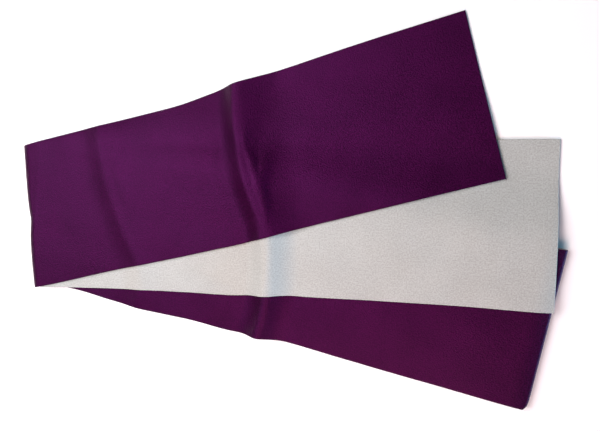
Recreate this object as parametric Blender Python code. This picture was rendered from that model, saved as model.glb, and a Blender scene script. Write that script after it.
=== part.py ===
"""A half-width obi, folded into eight layers and laid flat with its layers fanned out in three arms.

The obi is two long cloths, a purple face and a pale reverse, sewn together edge to edge. Each arm is a pair
of cloth walls that turn back on themselves at the left. The layers under the bottom arm are one rounded
solid, layered at its edges. Lengths are in millimetres. X runs along the middle arm, Y away from its near
edge, and Z up from the surface that the obi rests on. Sizes are worked out from the near corner of the left
folds, and the finished pieces are moved so that the middle of the whole is at the origin.
"""

import enum
import math
from collections import namedtuple

import bpy
import numpy as np

MM = 0.001

# The middle of the whole, from the near corner of the left folds
MIDDLE = (288.2, 89.3, 0.0)

# The cloth
WIDTH = 160.0
WALL = 1.0
SEAM_GAP = 0.3
LAYER = 2.0 * WALL + SEAM_GAP

# How the layers lie on each other
HIDDEN_HEIGHT = 8.5
SPRING = 5.6
SPRING_REACH = 100.0
GAP_ON_HIDDEN = 0.5
GAP_ON_ARM = 1.05
BLEND = 0.5
PEAK_ROUND = 0.3
EDGE_CLEARANCE = 1.0
FALL_REACH = 70.0
SLOPE_STEP = 0.5

# The left folds: spacing of the legs that turn under, and where they all end along the bottom arm
LOWER_LEG_PITCH = LAYER + 0.4
LOWER_LEG_END = 34.0
FOLD_SETTLES = 105.0

# The right end of the bottom arm
TIP_RADIUS = 1.75
TIP_DROP = 2.0
TIP_DROP_REACH = 18.0
TIP_LEG_SECTIONS = (6.0, 12.0, 18.0, 33.0)
TIP_LEG_CLEARANCE = 1.0
CORNER_ROUND = 3.5
CORNER_ROUND_WIDTH = 8.0

# The hidden layers: a nose inside the left folds, the body, and a thinner end under the right fold's leg
NOSE_START = 10.2
NOSE_FLOOR = 3.0 * LOWER_LEG_PITCH
NOSE_ROUND = 2.4
NOSE_ANGLES = (0.35, 0.8, 1.2, 1.57)
NOSE_SECTION = 23.0
BODY_START = LOWER_LEG_END + 0.5
STEP_WALL = 0.3
STEP_BEFORE_TIP = 4.0
STEP_AFTER_TIP = 6.0
HIDDEN_END_INSET = 1.5
HIDDEN_END_ROUND = 2.0
HIDDEN_END_ANGLES = (0.0, 0.6, 1.1, 1.5)
TIP_BODY_HEIGHT = 5.0
EDGE_GROOVE = 0.9
SQUEEZE_STEP = 0.8
ARCH = 0.6
ARCH_REACH = 0.75

# Looks
PURPLE = (0.075, 0.008, 0.085)
PALE = (0.56, 0.53, 0.50)
CLOTH_ROUGHNESS = 0.7
SHARP_ANGLE = math.radians(50.0)

# How a long edge strays from its straight line, by place along the arm
Edge = namedtuple("Edge", "along near far")
# A pressed crease: its place on the near edge, the middle and the far edge, its height and its two slopes
Crease = namedtuple("Crease", "near middle far height steep gentle")
# An arm: its direction, its left fold and right end on both edges, and the level of the leg that turns under
Arm = namedtuple("Arm", "turn fold_near fold_far end_near end_far level edges creases")
# A run of sections: up to where along the arm, and how many
Run = namedtuple("Run", "to sections")
# How far the top arm's left fold bows out past its straight line, by share of the width
Bow = namedtuple("Bow", "along out")
# A hidden layer: how far its two long edges lie inside the bottom arm's
Layer = namedtuple("Layer", "near far")

TOP_ARM = Arm(
    turn=13.4, fold_near=3.0, fold_far=42.0, end_near=536.0, end_far=534.0, level=0,
    edges=(
        Edge(0.0, -0.4, 158.8),
        Edge(40.0, -1.3, 158.9),
        Edge(110.0, -1.5, 157.2),
        Edge(190.0, -3.4, 154.4),
        Edge(240.0, -3.9, 153.1),
        Edge(266.0, -4.2, 154.8),
        Edge(300.0, -2.6, 157.2),
        Edge(350.0, -1.8, 157.5),
        Edge(430.0, -0.7, 159.0),
        Edge(536.0, -0.4, 159.2),
    ),
    creases=(
        Crease(146.0, 135.0, 143.0, 3.0, 28.0, 34.0),
        Crease(302.0, 293.0, 304.0, 10.0, 26.0, 56.0),
    ),
)
MIDDLE_ARM = Arm(
    turn=0.0, fold_near=6.2, fold_far=20.4, end_near=565.9, end_far=567.5, level=1,
    edges=(
        Edge(0.0, 0.3, 160.0),
        Edge(61.0, 1.6, 161.0),
        Edge(126.0, 2.4, 161.5),
        Edge(199.0, 2.2, 162.0),
        Edge(250.0, 1.6, 161.5),
        Edge(290.0, 4.5, 163.0),
        Edge(330.0, 3.7, 163.0),
        Edge(400.0, 3.3, 162.2),
        Edge(480.0, 2.2, 161.2),
        Edge(568.0, -0.9, 159.6),
    ),
    creases=(
        Crease(143.0, 131.0, 114.0, 2.2, 24.0, 34.0),
        Crease(283.0, 291.0, 267.0, 10.0, 26.0, 32.0),
    ),
)
BOTTOM_ARM = Arm(
    turn=-10.25, fold_near=8.6, fold_far=8.6, end_near=555.0, end_far=557.2, level=2,
    edges=(
        Edge(0.0, 6.5, 164.0),
        Edge(60.0, 7.6, 165.0),
        Edge(92.0, 5.3, 163.5),
        Edge(136.0, 3.7, 162.0),
        Edge(205.0, 5.2, 163.0),
        Edge(238.0, 4.4, 162.5),
        Edge(275.0, 6.6, 164.0),
        Edge(305.0, 7.4, 165.0),
        Edge(370.0, 4.9, 163.0),
        Edge(450.0, 2.0, 161.0),
        Edge(558.0, -1.6, 160.0),
    ),
    creases=(
        Crease(130.0, 127.0, 90.0, 2.0, 24.0, 34.0),
        Crease(276.0, 280.0, 256.0, 10.0, 26.0, 32.0),
    ),
)
UNDER = {TOP_ARM: MIDDLE_ARM, MIDDLE_ARM: BOTTOM_ARM}

TOP_FOLD_BOW = (
    Bow(0.0, 2.4),
    Bow(0.18, 2.6),
    Bow(0.4, 1.0),
    Bow(0.48, -1.0),
    Bow(0.56, 0.0),
    Bow(1.0, 0.0),
)

# Sections along an arm, close together at its creases
RUNS = (
    Run(60.0, 3),
    Run(96.0, 3),
    Run(180.0, 10),
    Run(246.0, 3),
    Run(318.0, 18),
    Run(374.0, 6),
    Run(500.0, 4),
    Run(600.0, 2),
)
SHORTEST_SECTION = 1.0
LEAN_HOLD = 35.0
LEAN_FADE = 70.0
FOLD_SECTIONS = 9
FOLD_RADIUS_GUESS = 4.0
TIP_SECTIONS = 8
COLUMNS = (0.0, 0.11, 0.22, 0.33, 0.44, 0.56, 0.67, 0.78, 0.89, 1.0)
BOTTOM_COLUMNS = (0.0, 0.03, 0.16, 0.33, 0.5, 0.67, 0.84, 1.0)

# From the underside up
HIDDEN_LAYERS = (
    Layer(0.5, 1.1),
    Layer(1.3, 0.4),
    Layer(0.2, 1.4),
    Layer(1.0, 0.6),
    Layer(0.6, 0.9),
)
# The lowest of them that the left fold's nose holds, and the number below the right fold's leg
NOSE_LAYER = 3
TIP_LAYERS = 4


class Stretch(enum.Enum):
    """The three stretches of the hidden layers."""

    NOSE = 1
    BODY = 2
    TIP = 3


def smooth(value):
    """A soft step from 0 to 1."""
    value = np.clip(value, 0.0, 1.0)
    return value * value * (3.0 - 2.0 * value)


def along_table(rows, column, at):
    """One column of a table of edges, run smoothly through its rows."""
    places = np.array([row.along for row in rows])
    values = np.array([getattr(row, column) for row in rows])
    slopes = np.gradient(values, places)
    at = np.clip(np.asarray(at, float), places[0], places[-1])
    low = np.clip(np.searchsorted(places, at, side="right") - 1, 0, len(places) - 2)
    length = places[low + 1] - places[low]
    t = (at - places[low]) / length
    return (
        (1.0 + 2.0 * t) * (1.0 - t) ** 2 * values[low]
        + t * (1.0 - t) ** 2 * length * slopes[low]
        + t * t * (3.0 - 2.0 * t) * values[low + 1]
        + t * t * (t - 1.0) * length * slopes[low + 1]
    )


def place(arm, along, across):
    """X and Y of a place given along and across an arm."""
    turn = math.radians(arm.turn)
    x = along * math.cos(turn) - across * math.sin(turn)
    y = along * math.sin(turn) + across * math.cos(turn)
    return x, y


def local(arm, x, y):
    """The place along and across an arm of a point given in X and Y."""
    turn = math.radians(arm.turn)
    along = x * math.cos(turn) + y * math.sin(turn)
    across = -x * math.sin(turn) + y * math.cos(turn)
    return along, across


def crease_line(crease, share):
    """Where a crease lies along its arm, at shares of the width."""
    return (
        crease.near * (1.0 - share) * (1.0 - 2.0 * share)
        + crease.middle * 4.0 * share * (1.0 - share)
        + crease.far * share * (2.0 * share - 1.0)
    )


def lean(arm, along, share):
    """How far a section leans along the arm, so that the sections near the tallest crease run with it."""
    tallest = arm.creases[-1]
    fade = smooth((np.abs(along - tallest.near) - LEAN_HOLD) / LEAN_FADE)
    return (crease_line(tallest, share) - tallest.near) * (1.0 - fade)


def swell(arm, along, across, height=1.0, reach=1.0):
    """How far an arm's pressed creases lift it. Each has hollow slopes and a tight round peak."""
    v = np.clip(across / WIDTH, 0.0, 1.0)
    lift = 0.0
    for crease in arm.creases:
        off = along - crease_line(crease, v)
        side = reach * np.where(off < 0.0, crease.steep, crease.gentle)
        share = np.clip(np.abs(off) / side, 0.0, 1.0)
        down = (np.hypot(share, PEAK_ROUND) - PEAK_ROUND) / (math.hypot(1.0, PEAK_ROUND) - PEAK_ROUND)
        lift = lift + height * crease.height * (1.0 - down) ** 2
    return lift


def end_place(arm, share):
    """Where along an arm its upper sections end. The bottom arm turns under beyond them."""
    end = arm.end_near + (arm.end_far - arm.end_near) * share
    if arm is not BOTTOM_ARM:
        return end
    corner = np.clip(1.0 - share * WIDTH / CORNER_ROUND_WIDTH, 0.0, 1.0)
    return end - TIP_RADIUS - 0.5 * LAYER - CORNER_ROUND * corner * corner


def tip_drop(along):
    """How far the bottom arm has sunk towards its right fold."""
    start = BOTTOM_ARM.end_far - TIP_RADIUS - 0.5 * LAYER - TIP_DROP_REACH
    return TIP_DROP * np.clip((along - start) / TIP_DROP_REACH, 0.0, 1.0) ** 2


def hidden_top(x, y, creased=True):
    """Height of the hidden layers' upper side."""
    along, across = local(BOTTOM_ARM, x, y)
    height = HIDDEN_HEIGHT + SPRING * np.clip(1.0 - along / SPRING_REACH, 0.0, 1.0) ** 2
    height = height - tip_drop(along)
    if creased:
        height = height + swell(BOTTOM_ARM, along, across)
    return height


def lower_side(arm, x, y, creased=True):
    """Height of an arm's lower side where it lies on what is under it, or on the surface."""
    if arm not in UNDER:
        return hidden_top(x, y, creased) + GAP_ON_HIDDEN
    under = UNDER[arm]
    along, across = local(under, x, y)
    edge = along_table(under.edges, "far", along)
    beyond = np.maximum(across - edge - EDGE_CLEARANCE, 0.0)
    inside = place(under, along, np.minimum(across, edge))
    held = 1.0 - smooth(beyond / FALL_REACH)
    flat = held * (upper_side(under, *inside, False) + GAP_ON_ARM)
    if not creased:
        return flat
    carried = held * (upper_side(under, *inside) + GAP_ON_ARM)
    own = flat + swell(arm, *local(arm, x, y))
    return 0.5 * (carried + own + np.hypot(carried - own, BLEND) - BLEND)


def steepness(arm, x, y, creased=True):
    """One over the cosine of the slope of an arm's lower side."""
    here = lower_side(arm, x, y, creased)
    rise_x = (lower_side(arm, x + SLOPE_STEP, y, creased) - here) / SLOPE_STEP
    rise_y = (lower_side(arm, x, y + SLOPE_STEP, creased) - here) / SLOPE_STEP
    return np.sqrt(1.0 + rise_x**2 + rise_y**2)


def upper_side(arm, x, y, creased=True):
    """Height of an arm's upper side."""
    return lower_side(arm, x, y, creased) + LAYER * steepness(arm, x, y, creased)


def middle_side(arm, x, y):
    """Height of the middle of an arm's two cloths."""
    return lower_side(arm, x, y) + 0.5 * LAYER * steepness(arm, x, y)


def across_at(arm, along, share):
    """How far across an arm a share of its width lies."""
    near = along_table(arm.edges, "near", along)
    far = along_table(arm.edges, "far", along)
    return near + (far - near) * share


def along_of_runs(start, end):
    """Places of the sections from one place along an arm to another."""
    places = [start]
    for run in RUNS:
        to = min(run.to, end)
        if to > places[-1] + SHORTEST_SECTION:
            places.extend(np.linspace(places[-1], to, run.sections + 1)[1:])
    return np.array(places)


def leg_middle(arm):
    """Height of the middle of the leg that turns under at the left."""
    return arm.level * LOWER_LEG_PITCH + 0.5 * LAYER


def fold_place(arm, share):
    """Where along an arm its left fold lies, at a share of its width."""
    line = arm.fold_near + (arm.fold_far - arm.fold_near) * share
    return line - along_table(TOP_FOLD_BOW, "out", share) if arm is TOP_ARM else line


def fold_radius(arm, share):
    """Radius of an arm's left fold, worked out from the height that its upper leg has there."""
    radius = FOLD_RADIUS_GUESS
    for _ in range(3):
        along = fold_place(arm, share) + radius
        x, y = place(arm, along, across_at(arm, along, share))
        radius = 0.5 * (middle_side(arm, x, y) - leg_middle(arm))
    return radius


def section_places(arm, share):
    """Places along an arm of its upper sections, one row for each section."""
    start = fold_place(arm, share) + fold_radius(arm, share)
    end = end_place(arm, share)
    rows = []
    for along in along_of_runs(start[0], end[0]):
        settled = smooth((along - start[0]) / FOLD_SETTLES)
        ending = max(along - RUNS[-2].to, 0.0) / (end[0] - RUNS[-2].to)
        row = along + (start - start[0]) * (1.0 - settled) + (end - end[0]) * ending
        rows.append(row + lean(arm, along, share))
    return np.array(rows)


def arm_middle(arm, columns):
    """The middle of an arm's two cloths, from the leg under it, round the left fold, to its right end."""
    share = np.array(columns)
    radius = fold_radius(arm, share)
    centre = leg_middle(arm) + radius
    fold = fold_place(arm, share)
    fold_x, fold_y = place(arm, fold, across_at(arm, fold, share))
    rows = []
    end_x, end_y = place(BOTTOM_ARM, LOWER_LEG_END, across_at(BOTTOM_ARM, LOWER_LEG_END, share))
    rows.append((end_x, end_y, np.full_like(share, leg_middle(arm))))
    for angle in np.linspace(-0.5 * math.pi, 0.5 * math.pi, FOLD_SECTIONS + 1)[:-1]:
        inward = radius * (1.0 - math.cos(angle))
        heading = math.radians(arm.turn if angle > 0.0 else BOTTOM_ARM.turn)
        rows.append((
            fold_x + inward * math.cos(heading),
            fold_y + inward * math.sin(heading),
            centre + radius * math.sin(angle),
        ))
    for along in section_places(arm, share):
        x, y = place(arm, along, across_at(arm, along, share))
        rows.append((x, y, middle_side(arm, x, y)))
    if arm is BOTTOM_ARM:
        rows.extend(tip_rows(share))
    return np.array([np.stack(row, axis=-1) for row in rows])


def tip_rows(share):
    """Sections of the bottom arm's right fold and of the leg that turns back under it."""
    centre = end_place(BOTTOM_ARM, share)
    across = across_at(BOTTOM_ARM, centre, share)
    top = middle_side(BOTTOM_ARM, *place(BOTTOM_ARM, centre, across))
    slope = 2.0 * TIP_DROP / TIP_DROP_REACH
    rows = []
    for angle in np.linspace(0.5 * math.pi, -0.5 * math.pi, TIP_SECTIONS + 1)[1:]:
        out = TIP_RADIUS * math.cos(angle)
        x, y = place(BOTTOM_ARM, centre + out, across)
        rows.append((x, y, top - TIP_RADIUS + TIP_RADIUS * math.sin(angle) - slope * out))
    for back in TIP_LEG_SECTIONS:
        along = centre - back
        x, y = place(BOTTOM_ARM, along, across_at(BOTTOM_ARM, along, share))
        rows.append((x, y, middle_side(BOTTOM_ARM, x, y) - 2.0 * TIP_RADIUS))
    return rows


def normals_of(grid):
    """Normals of a grid of points, outward on an arm's upper leg and a little longer where it bends."""
    steps = np.diff(grid, axis=0)
    steps = steps / np.linalg.norm(steps, axis=2, keepdims=True)
    before = np.concatenate([steps[:1], steps])
    after = np.concatenate([steps, steps[-1:]])
    along = before + after
    along = along / np.linalg.norm(along, axis=2, keepdims=True)
    normal = np.cross(along, np.gradient(grid, axis=1))
    normal = normal / np.linalg.norm(normal, axis=2, keepdims=True)
    return normal / np.sum(along * after, axis=2, keepdims=True)


def wall_mesh(grid, low, high):
    """Points and triangles of a cloth wall that lies between two offsets from a grid."""
    normal = normals_of(grid)
    rows, columns = grid.shape[:2]
    count = rows * columns
    points = np.concatenate([
        (grid + high * normal).reshape(-1, 3),
        (grid + low * normal).reshape(-1, 3),
    ])
    faces = []
    for i in range(rows - 1):
        for j in range(columns - 1):
            a = i * columns + j
            b = a + columns
            faces += [(a, b, b + 1), (a, b + 1, a + 1)]
            faces += [(a + count, b + 1 + count, b + count), (a + count, a + 1 + count, b + 1 + count)]
    rim = [j for j in range(columns)]
    rim += [i * columns + columns - 1 for i in range(1, rows)]
    rim += [(rows - 1) * columns + j for j in range(columns - 2, -1, -1)]
    rim += [i * columns for i in range(rows - 2, 0, -1)]
    for a, b in zip(rim, rim[1:] + rim[:1]):
        faces += [(a, b, b + count), (a, b + count, a + count)]
    return points, faces


def hidden_levels(along, stretch):
    """Heights of the hidden layers' borders at a section, from the underside up."""
    top = float(hidden_top(*place(BOTTOM_ARM, along, 0.5 * WIDTH), False))
    levels = np.linspace(0.0, top, len(HIDDEN_LAYERS) + 1)
    near_fold = 1.0 - float(smooth((along - BODY_START) / FOLD_SETTLES))
    for k in range(1, NOSE_LAYER + 1):
        levels[k] += (k * LOWER_LEG_PITCH - levels[k]) * near_fold
    if stretch is Stretch.NOSE:
        levels[NOSE_LAYER] = NOSE_FLOOR
    levels[TIP_LAYERS] = 0.5 * (levels[NOSE_LAYER] + top)
    if stretch is Stretch.TIP:
        lowered = TIP_BODY_HEIGHT - float(tip_drop(along))
        levels[:TIP_LAYERS + 1] = np.linspace(0.0, lowered, TIP_LAYERS + 1)
        levels[-1] = lowered
    return levels


def hidden_side(edges, levels, inward, stretch):
    """Points of one long side of the hidden layers at a section, from the underside up."""
    side = []
    for edge, low, high in zip(edges, levels[:-1], levels[1:]):
        side.append((edge + inward * EDGE_GROOVE, low))
        side.append((edge, 0.5 * (low + high)))
    side.append((edges[-1] + inward * EDGE_GROOVE, levels[-1]))
    if stretch is Stretch.NOSE:
        corner = 2 * NOSE_LAYER
        for k in range(corner + 1):
            side[k] = (side[corner][0] + inward * SQUEEZE_STEP * (corner - k), NOSE_FLOOR)
    if stretch is Stretch.TIP:
        corner = 2 * TIP_LAYERS
        for k in range(corner + 1, len(side)):
            side[k] = (side[corner][0] + inward * SQUEEZE_STEP * (k - corner), levels[-1])
    return side


def hidden_ring(along, stretch):
    """One ring of the hidden layers: near side up, upper side, far side down, underside."""
    near = float(along_table(BOTTOM_ARM.edges, "near", along))
    far = float(along_table(BOTTOM_ARM.edges, "far", along + lean(BOTTOM_ARM, along, 1.0)))
    levels = hidden_levels(along, stretch)
    near_side = hidden_side([near + layer.near for layer in HIDDEN_LAYERS], levels, 1.0, stretch)
    far_side = hidden_side([far - layer.far for layer in HIDDEN_LAYERS], levels, -1.0, stretch)
    inner = [near + (far - near) * share for share in BOTTOM_COLUMNS[2:-1]]
    upper = [(across, near_side[-1][1]) for across in inner]
    under = [(across, near_side[0][1]) for across in reversed(inner[::2])]
    return near_side + upper + far_side[::-1] + under


def hidden_sections():
    """Places of the hidden layers' sections and the stretch that each belongs to."""
    end = BOTTOM_ARM.end_near - HIDDEN_END_INSET
    step = float(end_place(BOTTOM_ARM, 0.0)) - TIP_LEG_SECTIONS[-1] - TIP_LEG_CLEARANCE
    nose = [NOSE_START + NOSE_ROUND * (1.0 - math.cos(angle)) for angle in NOSE_ANGLES]
    nose += [NOSE_SECTION, BODY_START]
    body = along_of_runs(BODY_START + STEP_WALL, step - STEP_BEFORE_TIP)
    tip = [step, step + STEP_AFTER_TIP, 0.5 * (step + end)]
    tip += [end - HIDDEN_END_ROUND * (1.0 - math.sin(angle)) for angle in HIDDEN_END_ANGLES]
    sections = [(along, Stretch.NOSE) for along in nose]
    sections += [(float(along), Stretch.BODY) for along in body]
    sections += [(along, Stretch.TIP) for along in tip]
    return sections


def end_scale(along):
    """How far the hidden layers' rounded ends have closed, from 1 where they are open."""
    nose = (NOSE_START + NOSE_ROUND - along) / NOSE_ROUND
    tip = (along - BOTTOM_ARM.end_near + HIDDEN_END_INSET + HIDDEN_END_ROUND) / HIDDEN_END_ROUND
    into = min(max(nose, tip, 0.0), 1.0)
    return math.sqrt(1.0 - into * into)


def hidden_mesh():
    """Points and faces of the hidden layers."""
    points = []
    for along, stretch in hidden_sections():
        ring = hidden_ring(along, stretch)
        low = min(height for _, height in ring)
        high = max(height for _, height in ring)
        middle = 0.5 * (low + high)
        near = min(across for across, _ in ring)
        far = max(across for across, _ in ring)
        for across, height in ring:
            leaned = along + lean(BOTTOM_ARM, along, (across - near) / (far - near))
            x, y = place(BOTTOM_ARM, leaned, across)
            lift = float(swell(BOTTOM_ARM, leaned, across))
            arch = float(swell(BOTTOM_ARM, leaned, across, ARCH, ARCH_REACH))
            share = (height - low) / (high - low)
            z = middle + (height - middle) * end_scale(along)
            points.append((x, y, z + arch + (lift - arch) * share))
    count = len(ring)
    faces = []
    for first in range(0, len(points) - count, count):
        for j in range(count):
            a = first + j
            b = first + (j + 1) % count
            faces += [(a, a + count, b + count), (a, b + count, b)]
    faces.append(tuple(range(count)))
    faces.append(tuple(range(len(points) - 1, len(points) - 1 - count, -1)))
    return np.array(points), faces


def material(name, color):
    """A plain cloth material."""
    made = bpy.data.materials.new(name)
    made.use_nodes = True
    shader = made.node_tree.nodes["Principled BSDF"]
    shader.inputs["Base Color"].default_value = (*color, 1.0)
    shader.inputs["Roughness"].default_value = CLOTH_ROUGHNESS
    made.diffuse_color = (*color, 1.0)
    return made


def add_piece(name, points, faces, color):
    """Adds one named solid to the scene."""
    mesh = bpy.data.meshes.new(name)
    mesh.from_pydata(((points - MIDDLE) * MM).tolist(), [], faces)
    mesh.materials.append(material(name, color))
    mesh.shade_smooth()
    mesh.set_sharp_from_angle(angle=SHARP_ANGLE)
    piece = bpy.data.objects.new(name, mesh)
    bpy.context.scene.collection.objects.link(piece)


def main():
    """Clears the scene and builds the two cloths of each arm and the hidden layers."""
    for old in list(bpy.data.objects):
        bpy.data.objects.remove(old)
    half = 0.5 * LAYER
    top = arm_middle(TOP_ARM, COLUMNS)
    middle = arm_middle(MIDDLE_ARM, COLUMNS)
    bottom = arm_middle(BOTTOM_ARM, BOTTOM_COLUMNS)
    add_piece("top_arm_face", *wall_mesh(top, half - WALL, half), PURPLE)
    add_piece("top_arm_reverse", *wall_mesh(top, -half, WALL - half), PALE)
    add_piece("middle_arm_reverse", *wall_mesh(middle, half - WALL, half), PALE)
    add_piece("middle_arm_face", *wall_mesh(middle, -half, WALL - half), PURPLE)
    add_piece("bottom_arm_face", *wall_mesh(bottom, half - WALL, half), PURPLE)
    add_piece("bottom_arm_reverse", *wall_mesh(bottom, -half, WALL - half), PALE)
    add_piece("hidden_layers", *hidden_mesh(), PURPLE)


main()
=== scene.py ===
"""The looks of a folded half-width obi: fine cloth shells, weave and sheen, a pale floor and soft light.

The obi lies in eight layers, fanned out in three arms. Each arm is a purple face cloth and a pale reverse
cloth, sewn edge to edge and turned back on themselves at the left. The layers under the bottom arm are one
piece with their edges showing. Shapes are worked out in millimetres from the near corner of the left folds, X
along the middle arm and Y away from its near edge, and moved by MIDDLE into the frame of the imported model.
"""

import enum
import logging
import math
from dataclasses import dataclass, field

import bmesh
import bpy
import numpy as np
from mathutils import Matrix, Vector


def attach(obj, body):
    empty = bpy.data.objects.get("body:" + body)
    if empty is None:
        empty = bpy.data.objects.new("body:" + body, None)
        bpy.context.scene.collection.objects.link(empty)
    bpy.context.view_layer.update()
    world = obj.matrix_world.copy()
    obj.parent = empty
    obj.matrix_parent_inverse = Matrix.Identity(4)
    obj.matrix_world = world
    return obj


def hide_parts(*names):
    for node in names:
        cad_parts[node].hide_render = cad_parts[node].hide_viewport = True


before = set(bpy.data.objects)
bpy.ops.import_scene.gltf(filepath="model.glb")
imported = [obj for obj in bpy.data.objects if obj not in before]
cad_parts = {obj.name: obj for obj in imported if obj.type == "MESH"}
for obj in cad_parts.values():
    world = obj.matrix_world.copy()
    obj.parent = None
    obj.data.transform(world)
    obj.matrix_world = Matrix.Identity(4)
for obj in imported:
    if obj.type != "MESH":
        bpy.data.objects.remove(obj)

MM = 0.001
CLOTH_UV = "cloth"
Numbers = float | np.ndarray
log = logging.getLogger("obi")

# The middle of the whole, from the near corner of the left folds
MIDDLE = (288.2, 89.3, 0.0)

# The cloth
WIDTH = 160.0
WALL = 1.0
SEAM_GAP = 0.3
LAYER = 2.0 * WALL + SEAM_GAP
HALF = 0.5 * LAYER

# How the layers lie on each other
HIDDEN_HEIGHT = 8.5
SPRING = 5.6
SPRING_REACH = 100.0
GAP_ON_HIDDEN = 0.5
GAP_ON_ARM = 1.05
BLEND = 0.5
PEAK_ROUND = 0.16
EDGE_CLEARANCE = 1.0
FALL_REACH = 70.0
SLOPE_STEP = 0.5

# The left folds
LOWER_LEG_PITCH = LAYER + 0.4
LOWER_LEG_END = 34.0
LOWER_LEG_SECTIONS = 10
FOLD_SETTLES = 105.0
FOLD_SECTIONS = 28
FOLD_RADIUS_GUESS = 4.0
FOLD_RADIUS_ROUNDS = 3

# The right end of the bottom arm
TIP_RADIUS = 1.75
TIP_DROP = 2.0
TIP_DROP_REACH = 18.0
TIP_LEG = 33.0
TIP_LEG_SECTIONS = 12
TIP_LEG_CLEARANCE = 1.0
TIP_SECTIONS = 16
CORNER_ROUND = 3.5
CORNER_ROUND_WIDTH = 8.0

# Places where the sections of a cloth stand: from an edge inwards, and along the arm
LIP_PLACES = (0.0, 0.06, 0.18, 0.34, 0.52, 0.95, 2.0, 4.2)
COLUMN_SPACING = 5.0
SECTION_SPACING = 1.2
ENDING_FROM = 500.0
LEAN_HOLD = 35.0
LEAN_FADE = 70.0

# Where the soft ripples fade out: over this length towards an arm's ends, and where it lies lower than this
RIPPLE_FADE = 60.0
RIPPLE_HEIGHT_ABOVE = 2.0

# The turned edges of the two cloths
LIP_ROUND = 0.52
LIP_LEAST = 0.14
LIP_PRESS = 0.1
LIP_PRESS_REACH = 1.6
STITCH_PITCH = 3.6
STITCH_REACH = 1.3

# The hidden layers: a nose inside the left folds, the body, and a thinner end under the right fold's leg
NOSE_START = 10.2
NOSE_FLOOR = 3.0 * LOWER_LEG_PITCH
NOSE_ROUND = 2.4
NOSE_SECTION = 23.0
NOSE_STEPS = 4
BODY_START = LOWER_LEG_END + 0.5
STEP_WALL = 0.3
STEP_BEFORE_TIP = 4.0
HIDDEN_END_INSET = 1.5
HIDDEN_END_ROUND = 2.0
ROUND_SECTIONS = 7
ROUND_FIRST_ANGLE = 0.15
TIP_BODY_HEIGHT = 5.0
TIP_BODY_SECTIONS = 12
SQUEEZE_STEP = 0.12
ARCH = 0.6
ARCH_REACH = 0.75
HIDDEN_SPACING = 2.0
HIDDEN_COLUMNS = 18
HIDDEN_UPPER_INSET = 9.6
HIDDEN_LIP_POINTS = 5
HIDDEN_LAYER_POINTS = 2 * HIDDEN_LIP_POINTS
HIDDEN_LIP_DEPTH = 0.7
HIDDEN_GROOVE = 1.0
HIDDEN_LIP_FULL = 0.96

# The unevenness of a cloth, in its own millimetres: wandering yarns, streaks along it, patches and grain
WANDER_SCALE = 0.35
WANDER_DETAIL = 2.0
UNEVENNESS = 0.3
STREAK_SCALES = (0.12, 1.1, 1.0)
STREAK_DETAIL = 3.0
PATCH_SIZE = 40.0
PATCH_DETAIL = 3.0
GRAIN_SCALE = 0.7
GRAIN_DETAIL = 4.0

# How much each kind of unevenness counts in a cloth's tone, and the sums where it is deepest and lightest
PATCH_SHARE = 0.2
GRAIN_SHARE = 0.9
YARN_SHARE = 0.2
THREAD_SHARE = 0.12
TONE_LOW = 0.59
TONE_HIGH = 0.83
ROUGHNESS_SPREAD = 0.16

# The colour sockets of a Mix node, by number
MIX_FIRST = 6
MIX_SECOND = 7
MIX_RESULT = 2

# The camera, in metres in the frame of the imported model
PHOTO_WIDTH = 600
CAMERA_PLACE = (0.176997, 0.073704, 0.547748)
CAMERA_RIGHT = (0.967711, -0.022730, -0.251037)
CAMERA_UP = (-0.011822, 0.990737, -0.135277)
CAMERA_BACK = (0.251786, 0.133877, 0.958478)
FOCAL_PIXELS = 550.0
SENSOR_WIDTH = 36.0
CLIP_START = 0.01


@dataclass(frozen=True)
class Edge:
    """How far an arm's two long edges lie across it, at a place along it."""

    along: float
    near: float
    far: float


@dataclass(frozen=True)
class Crease:
    """A pressed crease: its place on the near edge, middle and far edge, its height and slopes' lengths."""

    near: float
    middle: float
    far: float
    height: float
    steep: float
    gentle: float

    def line(self, share: Numbers) -> Numbers:
        """Where the crease lies along its arm.

        Args:
            share: Shares of the width.

        Returns:
            Its place at each share.
        """
        return (
            self.near * (1.0 - share) * (1.0 - 2.0 * share)
            + self.middle * 4.0 * share * (1.0 - share)
            + self.far * share * (2.0 * share - 1.0)
        )


@dataclass(frozen=True)
class Bow:
    """How far a left fold bows out past its straight line, by share of the width."""

    along: float
    out: float


@dataclass(frozen=True)
class Ripple:
    """A soft unevenness of the cloth: its wave length, its heading and start in radians, and its height."""

    length: float
    heading: float
    start: float
    height: float


class Side(enum.Enum):
    """The cloth on the outer side of an arm's left fold, and the one on its inner side."""

    OUTER = 1
    INNER = -1


class Stretch(enum.Enum):
    """The three stretches of the hidden layers."""

    NOSE = 1
    BODY = 2
    TIP = 3


RIPPLES = (
    Ripple(83.0, 0.35, 0.4, 0.16),
    Ripple(47.0, 1.15, 2.1, 0.10),
    Ripple(31.0, -0.65, 4.0, 0.06),
    Ripple(140.0, 1.45, 1.2, 0.18),
)


def smooth(value: np.ndarray) -> np.ndarray:
    """A soft step from 0 to 1."""
    value = np.clip(value, 0.0, 1.0)
    return value * value * (3.0 - 2.0 * value)


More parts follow.
